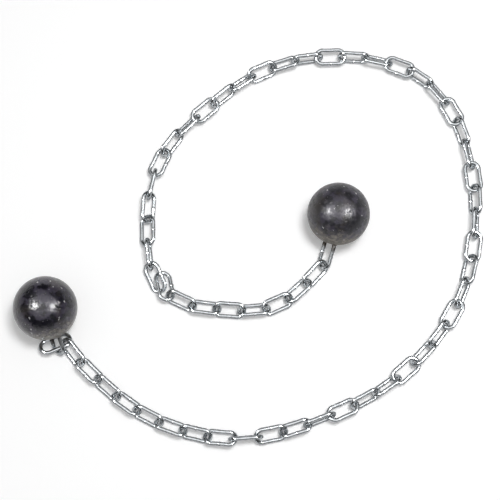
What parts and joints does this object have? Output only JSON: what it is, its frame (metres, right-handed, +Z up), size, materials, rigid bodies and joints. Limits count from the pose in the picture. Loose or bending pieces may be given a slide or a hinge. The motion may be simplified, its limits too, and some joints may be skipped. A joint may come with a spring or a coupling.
{
  "type": "ball and chain set",
  "caption": "Cast iron balls at both ends of a zinc-plated straight-link chain, held by chain links welded into the balls.",
  "frame": {"origin": "under the middle of the laid-out set, on the surface that it lies on", "axes": "+X to the right along the longest extent of the laid-out set, +Y away from the viewer, +Z up"},
  "size_m": [0.4618, 0.4078, 0.0617],
  "materials": {
    "cast_iron": "blackened, semi-gloss cast skin",
    "zinc_plated_steel": "bright zinc plate"
  },
  "bodies": {
    "ball_1": {"ball_1": "cast_iron"},
    "ball_2": {"ball_2": "cast_iron"},
    "link_01": {"link_01": "zinc_plated_steel"},
    "link_02": {"link_02": "zinc_plated_steel"},
    "link_03": {"link_03": "zinc_plated_steel"},
    "link_04": {"link_04": "zinc_plated_steel"},
    "link_05": {"link_05": "zinc_plated_steel"},
    "link_06": {"link_06": "zinc_plated_steel"},
    "link_07": {"link_07": "zinc_plated_steel"},
    "link_08": {"link_08": "zinc_plated_steel"},
    "link_09": {"link_09": "zinc_plated_steel"},
    "link_10": {"link_10": "zinc_plated_steel"},
    "link_11": {"link_11": "zinc_plated_steel"},
    "link_12": {"link_12": "zinc_plated_steel"},
    "link_13": {"link_13": "zinc_plated_steel"},
    "link_14": {"link_14": "zinc_plated_steel"},
    "link_15": {"link_15": "zinc_plated_steel"},
    "link_16": {"link_16": "zinc_plated_steel"},
    "link_17": {"link_17": "zinc_plated_steel"},
    "link_18": {"link_18": "zinc_plated_steel"},
    "link_19": {"link_19": "zinc_plated_steel"},
    "link_20": {"link_20": "zinc_plated_steel"},
    "link_21": {"link_21": "zinc_plated_steel"},
    "link_22": {"link_22": "zinc_plated_steel"},
    "link_23": {"link_23": "zinc_plated_steel"},
    "link_24": {"link_24": "zinc_plated_steel"},
    "link_25": {"link_25": "zinc_plated_steel"},
    "link_26": {"link_26": "zinc_plated_steel"},
    "link_27": {"link_27": "zinc_plated_steel"},
    "link_28": {"link_28": "zinc_plated_steel"},
    "link_29": {"link_29": "zinc_plated_steel"},
    "link_30": {"link_30": "zinc_plated_steel"},
    "link_31": {"link_31": "zinc_plated_steel"},
    "link_32": {"link_32": "zinc_plated_steel"},
    "link_33": {"link_33": "zinc_plated_steel"},
    "link_34": {"link_34": "zinc_plated_steel"},
    "link_35": {"link_35": "zinc_plated_steel"},
    "link_36": {"link_36": "zinc_plated_steel"},
    "link_37": {"link_37": "zinc_plated_steel"},
    "link_38": {"link_38": "zinc_plated_steel"},
    "link_39": {"link_39": "zinc_plated_steel"},
    "link_40": {"link_40": "zinc_plated_steel"},
    "link_41": {"link_41": "zinc_plated_steel"},
    "link_42": {"link_42": "zinc_plated_steel"},
    "link_43": {"link_43": "zinc_plated_steel"},
    "link_44": {"link_44": "zinc_plated_steel"},
    "link_45": {"link_45": "zinc_plated_steel"},
    "link_46": {"link_46": "zinc_plated_steel"},
    "link_47": {"link_47": "zinc_plated_steel"},
    "link_48": {"link_48": "zinc_plated_steel"},
    "link_49": {"link_49": "zinc_plated_steel"},
    "link_50": {"link_50": "zinc_plated_steel"},
    "link_51": {"link_51": "zinc_plated_steel"},
    "link_52": {"link_52": "zinc_plated_steel"},
    "link_53": {"link_53": "zinc_plated_steel"},
    "link_54": {"link_54": "zinc_plated_steel"},
    "link_55": {"link_55": "zinc_plated_steel"},
    "link_56": {"link_56": "zinc_plated_steel"},
    "link_57": {"link_57": "zinc_plated_steel"}
  },
  "joints": [
    {"name": "link_29_to_link_28", "type": "hinge", "parent": "link_29", "child": "link_28", "pos_m": [0.20718, 0.12718, 0.0086], "axis": [-0.1738, -0.0411, 0.9839], "range_deg": [-40, 40]},
    {"name": "link_28_to_link_27", "type": "hinge", "parent": "link_28", "child": "link_27", "pos_m": [0.21463, 0.10403, 0.00863], "axis": [-0.8727, -0.27, 0.4067], "range_deg": [-40, 40]},
    {"name": "link_27_to_link_26", "type": "hinge", "parent": "link_27", "child": "link_26", "pos_m": [0.21973, 0.08026, 0.00828], "axis": [-0.8502, -0.1651, -0.5], "range_deg": [-40, 40]},
    {"name": "link_26_to_link_25", "type": "hinge", "parent": "link_26", "child": "link_25", "pos_m": [0.2224, 0.05609, 0.00809], "axis": [0.0342, 0.0086, -0.9994], "range_deg": [-40, 21]},
    {"name": "link_25_to_link_24", "type": "hinge", "parent": "link_25", "child": "link_24", "pos_m": [0.22245, 0.03178, 0.0086], "axis": [-0.848, 0.0161, 0.5298], "range_deg": [-40, 40]},
    {"name": "link_24_to_link_23", "type": "hinge", "parent": "link_24", "child": "link_23", "pos_m": [0.22048, 0.00754, 0.00871], "axis": [0.9099, -0.0817, 0.4067], "range_deg": [-40, 40]},
    {"name": "link_23_to_link_22", "type": "hinge", "parent": "link_23", "child": "link_22", "pos_m": [0.21679, -0.01649, 0.0075], "axis": [-0.1645, 0.0697, -0.9839], "range_deg": [-40, 40]},
    {"name": "link_22_to_link_21", "type": "hinge", "parent": "link_22", "child": "link_21", "pos_m": [0.21062, -0.04002, 0.00814], "axis": [0.734, -0.2199, -0.6426], "range_deg": [-40, 40]},
    {"name": "link_21_to_link_20", "type": "hinge", "parent": "link_21", "child": "link_20", "pos_m": [0.20142, -0.06254, 0.00815], "axis": [0.7803, -0.332, 0.5299], "range_deg": [-40, 40]},
    {"name": "link_20_to_link_19", "type": "hinge", "parent": "link_20", "child": "link_19", "pos_m": [0.18938, -0.08367, 0.008], "axis": [-0.2112, 0.1181, 0.9703], "range_deg": [-40, 40]},
    {"name": "link_19_to_link_18", "type": "hinge", "parent": "link_19", "child": "link_18", "pos_m": [0.1748, -0.10313, 0.008], "axis": [-0.6573, 0.5052, -0.5592], "range_deg": [-40, 40]},
    {"name": "link_18_to_link_17", "type": "hinge", "parent": "link_18", "child": "link_17", "pos_m": [0.15819, -0.12089, 0.00797], "axis": [0.5992, -0.573, -0.5592], "range_deg": [-40, 40]},
    {"name": "link_17_to_link_16", "type": "hinge", "parent": "link_17", "child": "link_16", "pos_m": [0.13996, -0.13699, 0.00826], "axis": [0.1658, -0.1765, 0.9702], "range_deg": [-40, 40]},
    {"name": "link_16_to_link_15", "type": "hinge", "parent": "link_16", "child": "link_15", "pos_m": [0.12014, -0.15107, 0.00828], "axis": [-0.4925, 0.7123, 0.5], "range_deg": [-40, 40]},
    {"name": "link_15_to_link_14", "type": "hinge", "parent": "link_15", "child": "link_14", "pos_m": [0.09883, -0.1628, 0.00803], "axis": [-0.4, 0.7478, -0.5299], "range_deg": [-40, 40]},
    {"name": "link_14_to_link_13", "type": "hinge", "parent": "link_14", "child": "link_13", "pos_m": [0.07667, -0.17275, 0.00905], "axis": [0.0785, -0.2667, -0.9606], "range_deg": [-40, 16]},
    {"name": "link_13_to_link_12", "type": "hinge", "parent": "link_13", "child": "link_12", "pos_m": [0.05394, -0.18158, 0.00933], "axis": [0.3473, -0.9144, 0.2079], "range_deg": [-40, 40]},
    {"name": "link_12_to_link_11", "type": "hinge", "parent": "link_12", "child": "link_11", "pos_m": [0.03075, -0.1889, 0.00622], "axis": [-0.2577, 0.5651, 0.7837], "range_deg": [-21, 40]},
    {"name": "link_11_to_link_10", "type": "hinge", "parent": "link_11", "child": "link_10", "pos_m": [0.00709, -0.19417, 0.00916], "axis": [-0.2017, 0.5293, -0.8241], "range_deg": [-40, 40]},
    {"name": "link_10_to_link_09", "type": "hinge", "parent": "link_10", "child": "link_09", "pos_m": [-0.0172, -0.1964, 0.00939], "axis": [0.0732, -0.9918, -0.1045], "range_deg": [-40, 40]},
    {"name": "link_09_to_link_08", "type": "hinge", "parent": "link_09", "child": "link_08", "pos_m": [-0.04141, -0.19464, 0.00706], "axis": [-0.0342, 0.4743, 0.8797], "range_deg": [-21, 40]},
    {"name": "link_08_to_link_07", "type": "hinge", "parent": "link_08", "child": "link_07", "pos_m": [-0.06518, -0.18947, 0.00706], "axis": [-0.1566, -0.6768, 0.7193], "range_deg": [-40, 40]},
    {"name": "link_07_to_link_06", "type": "hinge", "parent": "link_07", "child": "link_06", "pos_m": [-0.08821, -0.18162, 0.00706], "axis": [-0.2116, -0.5927, -0.7771], "range_deg": [-40, 36]},
    {"name": "link_06_to_link_05", "type": "hinge", "parent": "link_06", "child": "link_05", "pos_m": [-0.11004, -0.17089, 0.00706], "axis": [0.3162, 0.6185, -0.7193], "range_deg": [-40, 40]},
    {"name": "link_05_to_link_04", "type": "hinge", "parent": "link_05", "child": "link_04", "pos_m": [-0.13006, -0.15709, 0.00706], "axis": [0.3628, 0.5142, 0.7771], "range_deg": [-40, 40]},
    {"name": "link_04_to_link_03", "type": "hinge", "parent": "link_04", "child": "link_03", "pos_m": [-0.1486, -0.14137, 0.00706], "axis": [-0.453, -0.5266, 0.7193], "range_deg": [-40, 40]},
    {"name": "link_03_to_link_02", "type": "hinge", "parent": "link_03", "child": "link_02", "pos_m": [-0.16625, -0.12464, 0.00706], "axis": [-0.4389, -0.451, -0.7771], "range_deg": [-40, 40]},
    {"name": "link_02_to_link_01", "type": "hinge", "parent": "link_02", "child": "link_01", "pos_m": [-0.18507, -0.10154, 0.00706], "axis": [-0.2137, -0.1741, -0.9613], "range_deg": [-6, 40]},
    {"name": "link_01_to_ball_1", "type": "hinge", "parent": "link_01", "child": "ball_1", "pos_m": [-0.1894, -0.10955, 0.00831], "axis": [-0.0196, 0.3656, 0.9305], "range_deg": [-38, 14]},
    {"name": "link_29_to_link_30", "type": "hinge", "parent": "link_29", "child": "link_30", "pos_m": [0.19876, 0.14414, 0.0074], "axis": [0.1738, 0.0411, -0.9839], "range_deg": [-40, 40]},
    {"name": "link_30_to_link_31", "type": "hinge", "parent": "link_30", "child": "link_31", "pos_m": [0.18365, 0.16324, 0.00899], "axis": [0.612, 0.4622, 0.6417], "range_deg": [-40, 40]},
    {"name": "link_31_to_link_32", "type": "hinge", "parent": "link_31", "child": "link_32", "pos_m": [0.16439, 0.17825, 0.00919], "axis": [-0.5771, -0.78, 0.2419], "range_deg": [-40, 40]},
    {"name": "link_32_to_link_33", "type": "hinge", "parent": "link_32", "child": "link_33", "pos_m": [0.14226, 0.18846, 0.00704], "axis": [0.1733, 0.2253, -0.9588], "range_deg": [-40, 40]},
    {"name": "link_33_to_link_34", "type": "hinge", "parent": "link_33", "child": "link_34", "pos_m": [0.11855, 0.19372, 0.00899], "axis": [-0.1936, -0.6946, -0.6929], "range_deg": [-40, 40]},
    {"name": "link_34_to_link_35", "type": "hinge", "parent": "link_34", "child": "link_35", "pos_m": [0.0943, 0.19542, 0.00898], "axis": [-0.0581, -0.9686, 0.2419], "range_deg": [-40, 40]},
    {"name": "link_35_to_link_36", "type": "hinge", "parent": "link_35", "child": "link_36", "pos_m": [0.06998, 0.19503, 0.00913], "axis": [0.0133, -0.2754, 0.9612], "range_deg": [-40, 31]},
    {"name": "link_36_to_link_37", "type": "hinge", "parent": "link_36", "child": "link_37", "pos_m": [0.04573, 0.19206, 0.00944], "axis": [-0.1353, 0.981, -0.1392], "range_deg": [-40, 40]},
    {"name": "link_37_to_link_38", "type": "hinge", "parent": "link_37", "child": "link_38", "pos_m": [0.02229, 0.18583, 0.00619], "axis": [0.2457, -0.5113, -0.8235], "range_deg": [-40, 40]},
    {"name": "link_38_to_link_39", "type": "hinge", "parent": "link_38", "child": "link_39", "pos_m": [0.00012, 0.17576, 0.00726], "axis": [0.2861, -0.5147, 0.8082], "range_deg": [-40, 40]},
    {"name": "link_39_to_link_40", "type": "hinge", "parent": "link_39", "child": "link_40", "pos_m": [-0.01978, 0.16183, 0.00869], "axis": [-0.4029, 0.6255, 0.6682], "range_deg": [-40, 40]},
    {"name": "link_40_to_link_41", "type": "hinge", "parent": "link_40", "child": "link_41", "pos_m": [-0.03834, 0.14613, 0.00875], "axis": [-0.5998, 0.7071, -0.3746], "range_deg": [-40, 40]},
    {"name": "link_41_to_link_42", "type": "hinge", "parent": "link_41", "child": "link_42", "pos_m": [-0.05686, 0.13039, 0.00812], "axis": [-0.0056, 0.0413, -0.9991], "range_deg": [-40, 40]},
    {"name": "link_42_to_link_43", "type": "hinge", "parent": "link_42", "child": "link_43", "pos_m": [-0.0743, 0.11342, 0.00826], "axis": [-0.6004, 0.5989, 0.5299], "range_deg": [-40, 40]},
    {"name": "link_43_to_link_44", "type": "hinge", "parent": "link_43", "child": "link_44", "pos_m": [-0.0889, 0.09391, 0.00817], "axis": [0.7048, -0.5032, 0.5], "range_deg": [-40, 40]},
    {"name": "link_44_to_link_45", "type": "hinge", "parent": "link_44", "child": "link_45", "pos_m": [-0.09935, 0.0719, 0.00909], "axis": [0.2074, -0.1289, -0.9697], "range_deg": [-36, 40]},
    {"name": "link_45_to_link_46", "type": "hinge", "parent": "link_45", "child": "link_46", "pos_m": [-0.10482, 0.04814, 0.0093], "axis": [0.9633, -0.2047, -0.1736], "range_deg": [-40, 40]},
    {"name": "link_46_to_link_47", "type": "hinge", "parent": "link_46", "child": "link_47", "pos_m": [-0.10648, 0.02388, 0.00702], "axis": [0.7151, -0.094, 0.6926], "range_deg": [-40, 40]},
    {"name": "link_47_to_link_48", "type": "hinge", "parent": "link_47", "child": "link_48", "pos_m": [-0.10562, -0.00037, 0.00913], "axis": [-0.5025, 0.0451, 0.8634], "range_deg": [-40, 40]},
    {"name": "link_48_to_link_49", "type": "hinge", "parent": "link_48", "child": "link_49", "pos_m": [-0.10328, -0.02488, 0.00956], "axis": [-0.9825, -0.1234, -0.1392], "range_deg": [-40, 40]},
    {"name": "link_49_to_link_50", "type": "hinge", "parent": "link_49", "child": "link_50", "pos_m": [-0.09141, -0.03298, 0.00321], "axis": [0.31, 0.3038, -0.9009], "range_deg": [-11, 21]},
    {"name": "link_50_to_link_51", "type": "hinge", "parent": "link_50", "child": "link_51", "pos_m": [-0.08482, -0.0555, 0.00724], "axis": [0.252, 0.2666, 0.9303], "range_deg": [-40, 40]},
    {"name": "link_51_to_link_52", "type": "hinge", "parent": "link_51", "child": "link_52", "pos_m": [-0.06307, -0.06669, 0.00734], "axis": [-0.307, -0.6505, 0.6947], "range_deg": [-40, 40]},
    {"name": "link_52_to_link_53", "type": "hinge", "parent": "link_52", "child": "link_53", "pos_m": [-0.03899, -0.06993, 0.00625], "axis": [-0.1023, -0.5506, -0.8284], "range_deg": [-40, 40]},
    {"name": "link_53_to_link_54", "type": "hinge", "parent": "link_53", "child": "link_54", "pos_m": [-0.01476, -0.07217, 0.00688], "axis": [0.0626, 0.5848, -0.8088], "range_deg": [-40, 40]},
    {"name": "link_54_to_link_55", "type": "hinge", "parent": "link_54", "child": "link_55", "pos_m": [0.00969, -0.07104, 0.00693], "axis": [-0.0558, 0.6668, 0.7431], "range_deg": [-40, 40]},
    {"name": "link_55_to_link_56", "type": "hinge", "parent": "link_55", "child": "link_56", "pos_m": [0.03232, -0.06179, 0.00645], "axis": [0.2293, -0.4779, 0.8479], "range_deg": [-40, 40]},
    {"name": "link_56_to_link_57", "type": "hinge", "parent": "link_56", "child": "link_57", "pos_m": [0.0505, -0.04565, 0.00706], "axis": [0.4266, -0.4443, -0.7878], "range_deg": [-40, 40]},
    {"name": "link_57_to_ball_2", "type": "hinge", "parent": "link_57", "child": "ball_2", "pos_m": [0.06797, -0.02867, 0.00662], "axis": [-0.5103, 0.4713, -0.7193], "range_deg": [-40, 40]}
  ]
}
